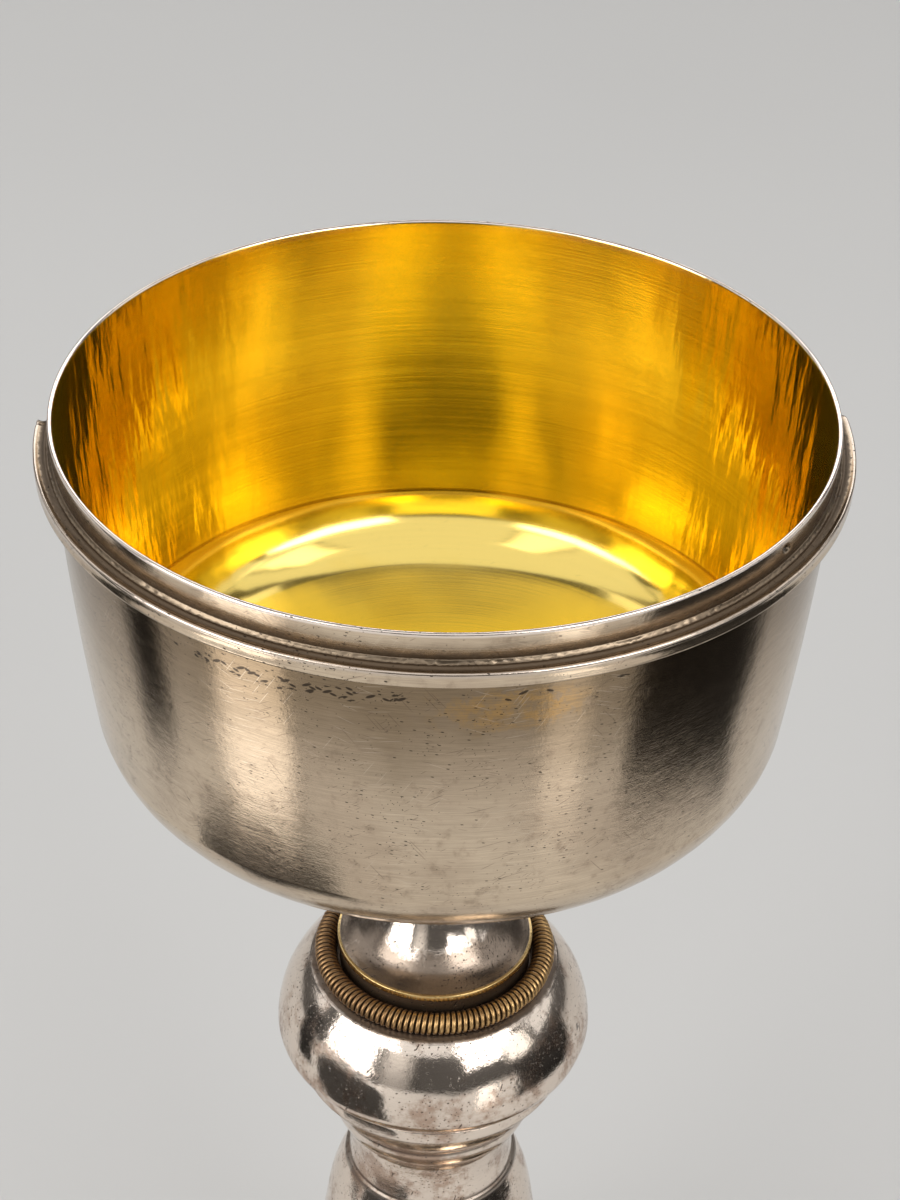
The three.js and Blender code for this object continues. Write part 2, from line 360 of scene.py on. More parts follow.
# %% [markdown]
# ## The bowl
#
# A silversmith raises the bowl from one flat sheet with a hammer and planishes it smooth. The wall is
# almost upright and draws in a little. Near the bottom there is a crease, then a tight curve, and then a
# shallow dish. The outer face runs 0.8 mm outside the inner one. Planishing leaves the wall very slightly
# uneven, which bends reflections into wavy flames, most of all at the two sides. This is a real relief of
# a few hundredths of a millimetre here, as the shape of the surface is what the polished gilding shows.
# One deep pit on the band at the rim is in the mesh too, with extra angles and rows where it lies.

# %% Bowl sizes and lines
RIM_R = 60
BOWL_WALL = 0.8
WALL_TAPER = 0.039
WALL_CURVE = 0.00079
CREASE_DEPTH = 51.8
TURN_R = 14.6
TURN_START = math.radians(78)
TURN_END = math.radians(21.8)
BOWL_BASE_Z = 193
SOLDER_PAD_R = 8.5


def wall_r(depth):
    """Outer radius of the bowl's wall at a depth below the rim."""
    return RIM_R - WALL_TAPER * depth - WALL_CURVE * depth ** 2


def bowl_line(thickness, band_step, wall_step=1.2, turn_steps=16, dish_steps=26):
    """The inner face from the rim to the middle, moved outwards by a thickness."""
    inset = BOWL_WALL - thickness
    depths = list(np.arange(0.5, 4, band_step)) + list(np.arange(4.2, CREASE_DEPTH - 0.5, wall_step))
    depths += [CREASE_DEPTH - 0.3, CREASE_DEPTH - 0.08]
    line = [(wall_r(d) - inset, RIM_Z - d) for d in depths]
    crease_r = wall_r(CREASE_DEPTH) - BOWL_WALL
    centre_r = crease_r - TURN_R * math.sin(TURN_START)
    centre_z = RIM_Z - CREASE_DEPTH + TURN_R * math.cos(TURN_START)
    slopes = np.linspace(TURN_START, TURN_END, turn_steps)
    slopes = [TURN_START - 0.003, TURN_START - 0.02] + list(slopes[1:])
    size = TURN_R + thickness
    line += [(centre_r + size * math.sin(s), centre_z - size * math.cos(s)) for s in slopes]
    dish_r = (centre_r + TURN_R * math.sin(TURN_END)) / math.sin(TURN_END)
    dish_z = centre_z - TURN_R * math.cos(TURN_END) + dish_r * math.cos(TURN_END)
    for s in np.linspace(TURN_END, 0, dish_steps)[1:]:
        line.append(((dish_r + thickness) * math.sin(s), dish_z - (dish_r + thickness) * math.cos(s)))
    return line


# %% Bowl profile
inner_line = bowl_line(0, 1.2)
outer_line = [pair for pair in bowl_line(BOWL_WALL, 0.22) if pair[0] > SOLDER_PAD_R + 0.3]
rim_line = [
    (RIM_R - 0.02, RIM_Z - 0.25), (RIM_R - 0.08, RIM_Z - 0.1), (RIM_R - 0.2, RIM_Z - 0.02), (RIM_R - 0.35, RIM_Z),
    (RIM_R - 0.5, RIM_Z - 0.01), (RIM_R - 0.66, RIM_Z - 0.07), (RIM_R - 0.77, RIM_Z - 0.2)]
pad_line = fine([(0, BOWL_BASE_Z), (SOLDER_PAD_R, BOWL_BASE_Z)], 2)
bowl_profile = pad_line + outer_line[::-1] + rim_line + inner_line
print("bowl profile has", len(bowl_profile), "points")

# %% Planishing and the pit
PIT_ANGLE = math.radians(-35.8)
PIT_DEPTH = 1.9
PIT_HALF_LENGTH = 0.85
PIT_HALF_HEIGHT = 0.55
PIT_SINK = 0.42

planish_flames = ripples(11, 26, (14, 52), (0.05, 0.22))
planish_fine = ripples(14, 30, (50, 110), (0.1, 0.4))
planish_soft = ripples(12, 18, (5, 22), (0.08, 0.3))
planish_rings = ripples(13, 12, (0, 5), (0.5, 1.4))


def planishing(radius, height, turn):
    """The hammered wall's relief in millimetres, with the pit on the band."""
    depth = RIM_Z - height
    sides = np.abs(np.cos(turn)) ** 3
    below_rim = np.clip(depth / 6, 0, 1)
    upright = np.clip((radius - 30) / 22, 0, 1) * below_rim
    inside = radius < wall_r(np.clip(depth, 0, CREASE_DEPTH)) - BOWL_WALL / 2
    flames = planish_flames(depth, turn) * np.where(inside, 0.002 + 0.022 * sides, 0.002)
    flames = flames + planish_fine(depth, turn) * np.where(inside, 0.008 * sides, 0)
    soft = planish_soft(depth, turn) * np.where(inside, 0.018, 0.012)
    rings = planish_rings(depth, turn) * np.where(inside, 0.002, 0.001)
    across = ((turn - PIT_ANGLE + math.pi) % (2 * math.pi) - math.pi) * RIM_R / PIT_HALF_LENGTH
    along = (depth - PIT_DEPTH - across * 0.25) / PIT_HALF_HEIGHT
    pit = np.exp(-(across ** 2 + along ** 2) ** 1.5) * ~inside
    return (flames + soft + rings) * upright - PIT_SINK * pit


# %% Bowl mesh
pit_turn = PIT_ANGLE + 2 * math.pi + np.radians(np.arange(-1.5, 1.5, 0.17))
bowl_turn = np.sort(np.append(around(420), pit_turn))
bowl = turned("bowl_raised", bowl_profile, bowl_turn, planishing)
print("bowl bottom inside", round(inner_line[-1][1], 2), "mm above the table")

# %% [markdown]
# ## The seat collar
#
# A lid would sit on this moulding, which is soldered round the outside a little below the rim. It has a
# flat ledge with a shallow channel, a bright outer edge and an upright face. The lip runs round the front
# and ends behind both sides, where a thinner and lower strip goes on. The section is drawn twice, as lip
# and as strip, and each angle mixes the two, so the lip ends in a short round. Solder has run into the
# inner corner and set in grains, and the lip has a butt seam near its left end.

# %% Collar sections
COLLAR_BASE = 7.25
LIP_R = 62
LIP_END_LEFT = 5.3
LIP_END_RIGHT = 7.0
LIP_END_LENGTH = 2.2
SEAM_ANGLE = 181.2

lip_section = [
    (wall_r(COLLAR_BASE) - 0.12, COLLAR_BASE), (61.3, COLLAR_BASE), (62.12, 7.24), (62.3, 7.2), (62.38, 7.1),
    (62.38, 6.8), (62.34, 6.3), (62.36, 5.8), (62.42, 5.45), (62.48, 5.2), (62.45, 5.0), (62.36, 4.86),
    (62.22, 4.78), (62.05, 4.8), (61.85, 4.9), (61.6, 4.98), (61.3, 5.0), (61.05, 4.95), (60.85, 4.82),
    (60.66, 4.73), (60.48, 4.76), (60.34, 4.84), (60.22, 4.8), (60.08, 4.66), (59.98, 4.5), (59.9, 4.32),
    (wall_r(4.2) - 0.02, 4.15), (wall_r(4.3) - 0.2, 4.4)]
strip_section = [
    (wall_r(COLLAR_BASE) - 0.12, COLLAR_BASE), (60.2, COLLAR_BASE), (60.62, 7.24), (60.74, 7.2), (60.82, 7.12),
    (60.86, 7.0), (60.88, 6.8), (60.88, 6.6), (60.88, 6.4), (60.86, 6.24), (60.83, 6.12), (60.78, 6.02),
    (60.72, 5.95), (60.66, 5.9), (60.6, 5.87), (60.54, 5.85), (60.46, 5.83), (60.4, 5.82), (60.33, 5.8),
    (60.26, 5.78), (60.2, 5.76), (60.12, 5.72), (60.04, 5.66), (59.98, 5.58), (59.92, 5.5), (59.86, 5.4),
    (wall_r(5.2) - 0.02, 5.25), (wall_r(5.4) - 0.2, 5.45)]
LIP_EDGE_POINT = 11
SOLDER_POINT = 23
print(len(lip_section), len(strip_section), "points in each section")

# %% Where the lip ends
behind_left = math.radians(180 - LIP_END_LEFT)
behind_right = math.radians(LIP_END_RIGHT)
seam = math.radians(SEAM_ANGLE)
fine_steps = math.radians(0.06)
collar_turn = np.concatenate([
    around(900),
    behind_left + fine_steps * np.arange(-4, 44), behind_right - fine_steps * np.arange(-4, 44) + 2 * math.pi,
    seam + fine_steps * np.arange(-8, 9)])
collar_turn = np.unique(np.round(collar_turn % (2 * math.pi), 5))

end_length = LIP_END_LENGTH / LIP_R
from_left = (collar_turn - behind_left) / end_length
from_right = ((behind_right + end_length) - collar_turn) / end_length - 1
past_right = np.where(collar_turn > math.pi, (2 * math.pi + behind_right - collar_turn) / end_length, from_right)
into_lip = np.clip(np.minimum(np.where(collar_turn > math.pi / 2, from_left, 1e3), past_right), 0, 1)
lip_share = np.sqrt(1 - (1 - into_lip) ** 2)
print(len(collar_turn), "angles,", int((lip_share > 0).sum()), "of them on the lip")

# %% Collar mesh
lip = np.array(lip_section)
strip = np.array(strip_section)
collar_r = strip[:, :1] + (lip[:, :1] - strip[:, :1]) * lip_share
collar_d = strip[:, 1:] + (lip[:, 1:] - strip[:, 1:]) * lip_share
grains = ripples(21, 40, (150, 420), (3, 8))
wander = ripples(22, 14, (12, 60), (0.5, 1.5))
points = np.arange(len(lip))
solder = np.exp(-((points - SOLDER_POINT) / 1.9) ** 2)[:, None]
worn = np.exp(-((points - LIP_EDGE_POINT) / 2.5) ** 2)[:, None]
collar_d = collar_d - solder * (0.06 * grains(collar_d, collar_turn) + 0.07 * wander(0, collar_turn))
collar_r = collar_r + solder * 0.05 * grains(collar_d + 3, collar_turn)
collar_r = collar_r - worn * 0.03 * np.abs(wander(1, collar_turn))
notch = np.exp(-((collar_turn - seam) / math.radians(0.26)) ** 2) * (collar_r > 61)
collar_r = collar_r - 0.36 * notch * (collar_r > 62.2)
collar_d = collar_d + 0.3 * notch * (collar_d < 5.1)
collar_r = np.minimum(collar_r, 62.5)
seat_collar = skin("seat_collar_moulding", collar_r, RIM_Z - collar_d, collar_turn, loop=True)

# %% [markdown]
# ## The stem
#
# Under the bowl a trumpet of polished silver spreads out into a thin disc, which sits on a narrower
# spigot. The knop is a ball that is flattened from below and cut off above. Under it come a bead and two
# hollow-backed rolls, a short drum, a step and a long bulb. The photograph ends at the bulb, so the ring
# moulding and the foot below it are plain.

# %% Neck
KNOP_TOP_Z = 150.5
DISC_R = 17.2
DISC_TOP_Z = 156.75
DISC_EDGE = 1.25
SPIGOT_R = 16.8

trumpet = curve([
    (DISC_R - 0.45, DISC_TOP_Z), (13.2, DISC_TOP_Z + 2.2), (8.8, DISC_TOP_Z + 8.5), (7, DISC_TOP_Z + 17),
    (6.6, 184), (8, BOWL_BASE_Z + 0.05)], 60)
neck_profile = corners([
    (0, KNOP_TOP_Z), (SPIGOT_R, KNOP_TOP_Z, 0.05), (SPIGOT_R - 0.1, DISC_TOP_Z - DISC_EDGE, 0.1),
    (DISC_R, DISC_TOP_Z - DISC_EDGE, 0.2), (DISC_R, DISC_TOP_Z - 0.05, 0.4), (DISC_R - 0.45, DISC_TOP_Z, 0.1)])
neck_profile = fine(neck_profile, 1.2) + trumpet + [(0, BOWL_BASE_Z + 0.05)]
soft_dents = ripples(31, 14, (3, 11), (0.1, 0.5))
neck = turned("neck_trumpet", neck_profile, 160, lambda r, z, turn: 0.012 * soft_dents(z, turn) * (r < 16))

# %% Knop
KNOP_R = 28
KNOP_BASE_Z = 130.5
KNOP_MID_Z = 136.5
KNOP_UPPER = 22.3
KNOP_LOWER = 10.7


def knop_r(height):
    """The ball's radius at a height."""
    rise = np.asarray(height, float) - KNOP_MID_Z
    return KNOP_R * np.sqrt(1 - (rise / np.where(rise > 0, KNOP_UPPER, KNOP_LOWER)) ** 2)


knop_profile = fine([(0, KNOP_BASE_Z), (float(knop_r(KNOP_BASE_Z)), KNOP_BASE_Z)], 3)
knop_profile += [(float(knop_r(z)), float(z)) for z in np.linspace(KNOP_BASE_Z, KNOP_TOP_Z, 60)[1:]]
knop_profile += fine([(float(knop_r(KNOP_TOP_Z)), KNOP_TOP_Z), (0, KNOP_TOP_Z)], 3)[1:]
knop_dents = ripples(32, 16, (3, 12), (0.1, 0.5))


def knop_relief(r, z, turn):
    """Soft dents, on the part of the ball that shows."""
    skin_only = np.clip((r - 19) / 2, 0, 1) * np.clip((KNOP_TOP_Z - z) * 4, 0, 1)
    return (0.02 * knop_dents(z, turn) - 0.045) * skin_only


knop = turned("knop_ball", knop_profile, 220, knop_relief)

# %% Baluster
FOOT_TOP_Z = 44
STEP_Z = 101.5
ROLL_JOIN_Z = 119
CALYX_TOP_Z = 127


def hollow(start, end, bulge, steps=10):
    """A convex roll between two pairs, without its ends."""
    (r0, z0), (r1, z1) = start, end
    length = math.hypot(r1 - r0, z1 - z0)
    out_r, out_z = (z1 - z0) / length, (r0 - r1) / length
    made = []
    for share in np.linspace(0, 1, steps + 1)[1:-1]:
        out = bulge * math.sin(math.pi * share)
        made.append((r0 + (r1 - r0) * share + out_r * out, z0 + (z1 - z0) * share + out_z * out))
    return made


bulb = curve([(16, STEP_Z), (18.7, 93.5), (20.1, 84.5), (21, 76), (19.6, 68), (14.5, 59), (9.5, 51)], 60)[::-1]
ankle = corners([
    (0, FOOT_TOP_Z), (12.5, FOOT_TOP_Z), (13.4, 45.6, 1.1), (12.5, 47.2, 0.5), (10.1, 48.2, 0.4), (9.5, 51)], 0.3)
roll_base, roll_mid, roll_top = (15.7, 112), (18.8, ROLL_JOIN_Z), (22.2, CALYX_TOP_Z)
throat = corners([(16, STEP_Z), (15.4, STEP_Z + 0.4, 0.2), (15, 107, 3), roll_base], 0.3)
calyx = [roll_base] + hollow(roll_base, roll_mid, 0.7) + [(18.62, ROLL_JOIN_Z - 0.05), (18.62, ROLL_JOIN_Z + 0.1)]
calyx += hollow(roll_mid, roll_top, 0.7)
bead = corners([
    roll_top, (24, CALYX_TOP_Z + 0.05, 0.9), (24.1, 130.35, 1.4), (23, KNOP_BASE_Z, 0.2), (0, KNOP_BASE_Z)], 0.5, 8)
baluster_profile = fine(ankle, 1.5) + bulb + [(16, STEP_Z - 0.05)] + fine(throat, 0.8) + calyx + fine(bead, 1)
baluster_dents = ripples(33, 14, (3, 10), (0.1, 0.4))


def baluster_relief(r, z, turn):
    """Soft dents, away from the ring moulding below and the bead above."""
    shown = np.clip((r - 9) / 3, 0, 1) * (z > 60) * (z < CALYX_TOP_Z - 1)
    return (0.015 * baluster_dents(z, turn) - 0.03) * shown


baluster = turned("baluster_stem", baluster_profile, 200, baluster_relief)

# %% Foot
FOOT_R = 65
FOOT_WALL = 1
ANKLE_R = 14

foot_outside = corners([
    (61.5, 0), (FOOT_R, 0, 0.4), (FOOT_R, 3.5, 0.7), (63.5, 4.5, 0.4), (59.7, 5.1, 0.8), (58.5, 8.5)], 0.3)
foot_dome = curve([(58.5, 8.5), (51, 15.5), (38, 23), (25, 29), (17, 36), (ANKLE_R, FOOT_TOP_Z)], 60)
inner_dome = []
for (r0, z0), (r1, z1) in zip(foot_dome, foot_dome[2:]):
    length = math.hypot(r1 - r0, z1 - z0)
    inward, upward = FOOT_WALL * (z1 - z0) / length, FOOT_WALL * (r1 - r0) / length
    inner_dome.append(((r0 + r1) / 2 - inward, (z0 + z1) / 2 + upward))
foot_inside = [(0, FOOT_TOP_Z - FOOT_WALL), (12.5, FOOT_TOP_Z - FOOT_WALL)] + inner_dome[::-1]
foot_inside += [(58.6, 4.9), (61.5, 0)]
foot_profile = fine(foot_outside, 1) + foot_dome + fine([(ANKLE_R, FOOT_TOP_Z), (0, FOOT_TOP_Z)], 3)[1:]
foot_profile += fine(foot_inside, 2)
foot = turned("foot_dome", foot_profile, 256)

# %% [markdown]
# ## The wire coil
#
# The ring on the knop is fine wire wound in close turns round a core and bent into a circle. It repeats
# by rule, so Geometry Nodes wind it: a circle with a few points for each turn is moved onto a winding line
# that goes round the ring once and round the core at every turn, and a thin round section is drawn along
# it. Each turn is a hair bigger or smaller than the next, from a fixed seed, as hand-wound wire is.

# %% Coil tree
COIL_R = 19.3
COIL_HALF_WIDTH = 2.0
COIL_HALF_HEIGHT = 1.95
COIL_TURNS = 126
WIRE_R = 0.44

coil_tree = bpy.data.node_groups.new("wound_ring", "GeometryNodeTree")
coil_sizes = {
    "Ring Radius": COIL_R * MM, "Half Width": (COIL_HALF_WIDTH - WIRE_R) * MM,
    "Half Height": (COIL_HALF_HEIGHT - WIRE_R) * MM, "Wire Radius": WIRE_R * MM,
    "Height": (KNOP_TOP_Z + COIL_HALF_HEIGHT) * MM}
coil_counts = {"Turns": COIL_TURNS, "Points Per Turn": 14, "Seed": 5}
for name in coil_sizes:
    coil_tree.interface.new_socket(name, in_out="INPUT", socket_type="NodeSocketFloat")
for name in coil_counts:
    coil_tree.interface.new_socket(name, in_out="INPUT", socket_type="NodeSocketInt")
coil_tree.interface.new_socket("Material", in_out="INPUT", socket_type="NodeSocketMaterial")
coil_tree.interface.new_socket("Geometry", in_out="OUTPUT", socket_type="NodeSocketGeometry")
wind = Maker(coil_tree)
given = coil_tree.nodes.new("NodeGroupInput")
size = {name: Link(given.outputs[name]) for name in [*coil_sizes, *coil_counts, "Material"]}

point = wind.node("GeometryNodeInputIndex")
per_turn = size["Points Per Turn"]
whole = size["Turns"] * per_turn
ring_angle = point / whole * (2 * math.pi)
turn_number = (point / per_turn).sum("FLOOR", point / per_turn)
core_angle = point / per_turn * (2 * math.pi)
uneven = wind.node(
    "FunctionNodeRandomValue", {"data_type": "FLOAT"}, 1, _2=0.965, _3=1.03, _7=turn_number, _8=size["Seed"])
core_x = core_angle.sum("COSINE", core_angle) * size["Half Width"] * uneven
core_z = core_angle.sum("SINE", core_angle) * size["Half Height"] * uneven
reach = size["Ring Radius"] + core_x
wound_place = wind.node(
    "ShaderNodeCombineXYZ", X=reach * ring_angle.sum("COSINE", ring_angle),
    Y=reach * ring_angle.sum("SINE", ring_angle), Z=core_z + size["Height"])
circle = wind.node("GeometryNodeCurvePrimitiveCircle", {"mode": "RADIUS"}, Resolution=whole, Radius=0.02)
line = wind.node("GeometryNodeSetPosition", Geometry=circle, Position=wound_place)
section = wind.node(
    "GeometryNodeCurvePrimitiveCircle", {"mode": "RADIUS"}, Resolution=7, Radius=size["Wire Radius"])
wire = wind.node("GeometryNodeCurveToMesh", Curve=line, Profile_Curve=section)
wire = wind.node("GeometryNodeSetShadeSmooth", Geometry=wire)
wire = wind.node("GeometryNodeRealizeInstances", Geometry=wire)
wire = wind.node("GeometryNodeSetMaterial", Geometry=wire, Material=size["Material"])
ending = coil_tree.nodes.new("NodeGroupOutput")
coil_tree.links.new(wire.socket, ending.inputs["Geometry"])
print("coil tree has", len(coil_tree.nodes), "nodes")


# %% Wind the coil
def grown(name, tree, values):
    """Runs a Geometry Nodes tree and keeps its result as a plain mesh."""
    seed_object = placed(name + "_tree", bpy.data.meshes.new(name + "_tree"))
    modifier = seed_object.modifiers.new("tree", "NODES")
    modifier.node_group = tree
    for socket in tree.interface.items_tree:
        if socket.in_out == "INPUT" and socket.name in values:
            modifier[socket.identifier] = values[socket.name]
    seed_object.update_tag()
    evaluated = seed_object.evaluated_get(bpy.context.evaluated_depsgraph_get())
    mesh = bpy.data.meshes.new_from_object(evaluated)
    mesh.name = name
    bpy.data.objects.remove(seed_object)
    piece = placed(name, mesh)
    heights = [v.co.z / MM for v in mesh.vertices]
    print(name, len(mesh.polygons), "faces,", round(min(heights), 2), "to", round(max(heights), 2), "mm")
    return piece


gilt_wire = Finish("gilt_wire")
coil = grown("coil_wire", coil_tree, {**coil_sizes, **coil_counts, "Material": gilt_wire.material})

# %% [markdown]
# ## Silver
#
# The outside is satin silver, worn by long handling. A cloth leaves fine lines round the cup, and knocks
# leave short scratches at every lean. The air turns silver warm and brown; under the collar the brown is
# both tarnish and painted shade, and a thin line of painted shade lies just below the collar. The band over
# the collar's ledge, the channel on the ledge and the step of the foot are darker, and grime lies in the
# collar's seam. Rubbed edges stay bright, and on the rim and the collar's outer edge this bright is also a
# painted highlight. All of it is made from noise, cells and the place on the cup in millimetres, so nothing
# repeats.

# %% Colours and tarnish of the satin silver
CLEAN_SILVER = (0.64, 0.52, 0.385)
DULL_SILVER = (0.49, 0.38, 0.275)
# Rubbed silver, also a painted highlight on the rim and the collar's outer edge.
RUBBED_AND_HIGHLIGHT_SILVER = (0.93, 0.82, 0.74)
SCRATCHED_SILVER = (0.92, 0.8, 0.66)
# Brown tarnish, also painted shade under the collar.
BROWN_TARNISH_AND_SHADE = (0.21, 0.15, 0.09)
AMBER_TARNISH = (0.42, 0.24, 0.07)
BROWN_SPOTS = (0.27, 0.2, 0.14)
OLD_SCRATCH = (0.13, 0.09, 0.065)
# Grime, also painted shade in the thin line below the collar.
GRIME_AND_SHADE = (0.085, 0.058, 0.038)
PIT_BLACK = (0.035, 0.026, 0.02)


def satin_tarnish_and_shade(made, clouds, blotches, brushed, ragged):
    """The colour before grime: tarnish and painted shade under the collar, brown on the band, an amber stain in
    front.
    """
    depth = RIM_Z - made.z
    streaks = made.noise(made.skin, (0.015, 0.8), 2, 0.5)
    below_collar = made.fade(depth, COLLAR_BASE - 0.35, COLLAR_BASE + 0.15)
    # Below the collar the brown is tarnish and also painted shade.
    tarnish_and_shade_under_collar = made.fade(depth + (clouds - 0.5) * 26, 38, 10) * below_collar
    on_band = made.fade(depth + (clouds - 0.5) * 3, 0.9, 2.6) * made.fade(depth, 5.6, 5.0)
    amber = made.patch(-80, 13.5, 12, 4.5, ragged * 1.5)
    amber = amber * made.fade(blotches + brushed * 0.3, 0.52, 0.78, 0.15, 1.0)
    colour = made.painted(
        CLEAN_SILVER, (made.fade(clouds, 0.38, 0.66) * 0.6, DULL_SILVER),
        (tarnish_and_shade_under_collar * 0.9 + on_band * 0.5, BROWN_TARNISH_AND_SHADE), (amber * 0.7, AMBER_TARNISH),
        (made.fade(blotches, 0.52, 0.72) * 0.45, BROWN_SPOTS))
    return colour * (0.6 + brushed * 0.62 + streaks * 0.18)


# %% Wear on the satin silver
def satin_wear(made, pitted, ragged):
    """Holes, dark scratches and bright lines: a share from 0 to 1 for each."""
    crowded = made.fade(made.noise(made.place, 0.07, 2), 0.4, 0.66)
    pits = made.marks(crowded * pitted * 1.6 + 0.02, 0.6, 0.22, -8, 3.2)
    specks = made.marks(crowded * pitted * 1.8 + 0.03, 0.24, 0.15, 24, 3.4)
    streak = made.patch(-110, 12, 20, 1.3, ragged, -0.5) + made.patch(-76, 11, 13, 1.0, ragged) * 0.6
    chevrons = made.deepest(made.marks(streak, 1.8, 0.6, 24, 1.8), made.marks(streak * 0.8, 1.3, 0.5, -20, 2.0))
    pit = made.patch(math.degrees(PIT_ANGLE), PIT_DEPTH, 0.8, PIT_HALF_HEIGHT, ragged * 0.3)

    hairs = made.marks(0.12 + crowded * 0.25, 1.7, 0.1, -12) + made.marks(0.1 + crowded * 0.2, 1.3, 0.1, 36)
    knocks = made.marks(0.12, 4.5, 0.14, -52) + made.marks(0.1, 3, 0.15, 31) + made.marks(0.08, 6, 0.13, 16)
    fine_lines = made.marks(0.3, 4, 0.11, 7) + made.marks(0.25, 3.5, 0.11, -22) + made.marks(0.2, 4, 0.11, 58)
    return made.deepest(pits, specks, chevrons, pit), (knocks * 0.5 + hairs * 0.6).clipped(), fine_lines.clipped()


# %% Satin silver
def silver(name, grime_and_shade, rubbed_and_highlight, pitted=0.1):
    """Satin silver. The grime, which also holds painted shade, and the rubbed edges, which also hold a painted
    highlight, are functions of the finish that give shares from 0 to 1.
    """
    made = Finish(name)
    clouds = made.noise(made.place, 0.05, 4, 0.6)
    blotches = made.noise(made.place, 0.4, 5, 0.7)
    brushed = made.noise(made.skin, (0.14, 4.5), 3, 0.7)
    ragged = (blotches - 0.5) * 1.7

    colour = satin_tarnish_and_shade(made, clouds, blotches, brushed, ragged)
    holes, scratches, fine_lines = satin_wear(made, pitted, ragged)
    # The dark share is grime, and on the bowl also painted shade below the collar; the rubbed share is also a
    # painted highlight on the rim and the collar's edge.
    dirt_and_shade = grime_and_shade(made)
    colour = made.painted(
        colour, (fine_lines * 0.22, SCRATCHED_SILVER), (scratches, OLD_SCRATCH), (dirt_and_shade * 0.85, GRIME_AND_SHADE),
        (rubbed_and_highlight(made), RUBBED_AND_HIGHLIGHT_SILVER), (holes * 0.88, PIT_BLACK))
    made.feed(
        Base_Color=colour, Roughness=0.07 + brushed * 0.06 + blotches * 0.08 + dirt_and_shade * 0.3,
        Anisotropic=0.3, Anisotropic_Rotation=0.25)
    made.bump(brushed * 0.008 + blotches * 0.035)
    print(name, "has", len(made.tree.nodes), "nodes")
    return made


# %% Grime and rubbed edges on the satin pieces
def bowl_darkening_and_shade(made):
    """Darker on the band towards the collar's ledge, and a thin line of painted shade just below the collar."""
    depth = RIM_Z - made.z
    ragged = depth + (made.noise(made.place, 0.5, 4, 0.7) - 0.5) * 2.4
    over_ledge = made.fade(ragged, 2.6, 4.4) * made.fade(depth, COLLAR_BASE + 0.05, COLLAR_BASE - 0.05)
    # Painted shade: a thin dark line just below the collar.
    shade_under_lip = made.fade(ragged, 8.3, 7.5) * made.fade(depth, COLLAR_BASE - 0.15, COLLAR_BASE - 0.05)
    return (over_ledge * 0.9 + shade_under_lip * 0.8).clipped()


def collar_channel_and_seam(made):
    """Darker in the channel on the ledge, and dirt in the butt seam."""
    ragged = made.axis + (made.noise(made.place, 1.1, 4, 0.7) - 0.5) * 0.9
    channel = made.fade(ragged, 61.8, 61.25) * (0.5 + made.fade(ragged, 59.95, 60.5) * 0.45)
    return made.deepest(channel, made.fade(made.turn.apart(seam - 2 * math.pi), 0.0045, 0.002) * 0.9)


def foot_step_darkening(made):
    """Darker on the step above the foot's rim."""
    ragged = made.z + (made.noise(made.place, 0.4, 4, 0.7) - 0.5) * 3
    return made.fade(ragged, 8, 5.2) * made.fade(made.z, 3.6, 4.2)


# The rim's top is painted bright: rubbed silver and a painted highlight.
satin = silver("satin_silver", bowl_darkening_and_shade, lambda made: made.fade(RIM_Z - made.z, 0.75, 0.35) * 0.9)
# The collar's outer edge is painted bright: rubbed silver and a painted highlight.
collar_silver = silver(
    "collar_silver", collar_channel_and_seam,
    lambda made: made.fade(made.axis + (RIM_Z - made.z) * -0.9, 57.1, 58.0) * 0.45, 0.3)
foot_silver = silver(
    "foot_silver", foot_step_darkening, lambda made: made.fade(made.axis, FOOT_R - 0.6, FOOT_R - 0.1) * 0.3)

# %% [markdown]
# The stem is polished brighter than the bowl. It shows its surroundings like a mirror, under a mottled
# tarnish between pink and brown and many black specks. The trumpet is clean above and brown towards its
# disc, whose thin edge is rubbed yellow. Painted shade darkens the spigot under the disc, a ring on the
# knop where the coil rests, and the baluster's step, the join of its rolls and the place under its bead.

# %% Polished silver
POLISHED_SILVER = (0.83, 0.72, 0.62)
PINK_TARNISH = (0.43, 0.29, 0.21)
DARK_TARNISH = (0.16, 0.115, 0.08)
TARNISH_SPOTS = (0.3, 0.2, 0.15)
THIN_SCRATCH = (0.2, 0.14, 0.1)
# Painted shade in the baluster's hollows and round the coil's foot.
DARK_SHADE = (0.07, 0.045, 0.03)
# Painted shade on the spigot under the disc.
SPIGOT_SHADE = (0.28, 0.18, 0.1)
RUBBED_YELLOW = (0.85, 0.6, 0.24)
HOLE_BLACK = (0.035, 0.025, 0.02)


